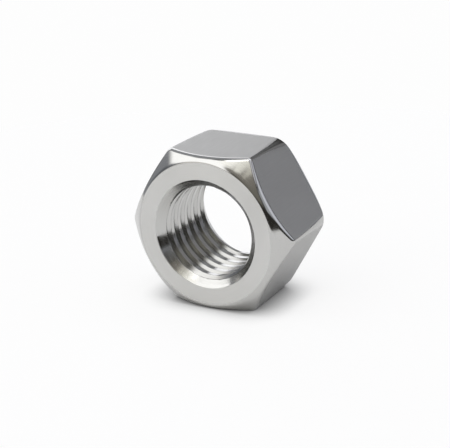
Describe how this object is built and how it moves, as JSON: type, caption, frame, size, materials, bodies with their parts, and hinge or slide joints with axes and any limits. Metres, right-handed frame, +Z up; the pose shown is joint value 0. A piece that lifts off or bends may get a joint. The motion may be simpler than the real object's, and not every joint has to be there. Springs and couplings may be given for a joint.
{
  "type": "hexagon nut",
  "caption": "Hexagon nut with a coarse right-hand thread, countersunk at both ends, with a sharp chamfered front and a softer, rounded back.",
  "frame": {"origin": "middle of the flat that the nut stands on", "axes": "+Z up from that flat, Y along the bore with the front face looking along -Y, X from corner to corner"},
  "size_m": [0.0274, 0.0148, 0.024],
  "materials": {
    "stainless_steel": "satin, fine turning and drawing marks"
  },
  "bodies": {
    "root": {"nut": "stainless_steel"}
  },
  "joints": []
}
